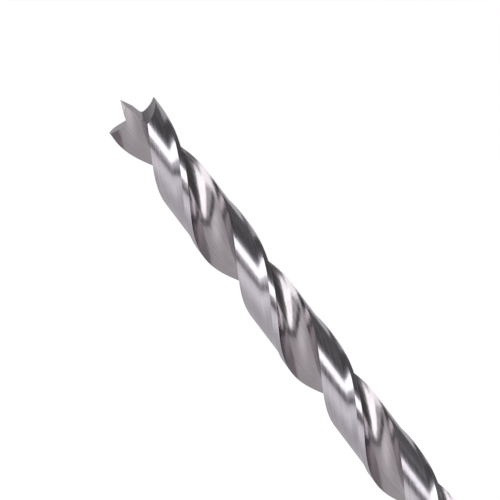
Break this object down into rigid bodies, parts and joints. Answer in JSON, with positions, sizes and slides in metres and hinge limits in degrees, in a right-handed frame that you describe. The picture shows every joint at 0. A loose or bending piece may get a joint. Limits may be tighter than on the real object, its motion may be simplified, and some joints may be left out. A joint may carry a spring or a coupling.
{
  "type": "brad point drill bit",
  "caption": "Straight round steel drill bit for wood, with twisted flutes, a sharp centre point between raised outer spurs, and a plain cylindrical shank.",
  "frame": {"origin": "centre of the shank's flat end face, the surface that the bit stands on", "axes": "+Z along the bit's axis from the shank to the centre point, X along the cutting lips"},
  "size_m": [0.0064, 0.0064, 0.1016],
  "materials": {
    "steel": "bright ground steel with fine grinding lines"
  },
  "bodies": {
    "root": {"drill_bit": "steel"}
  },
  "joints": []
}
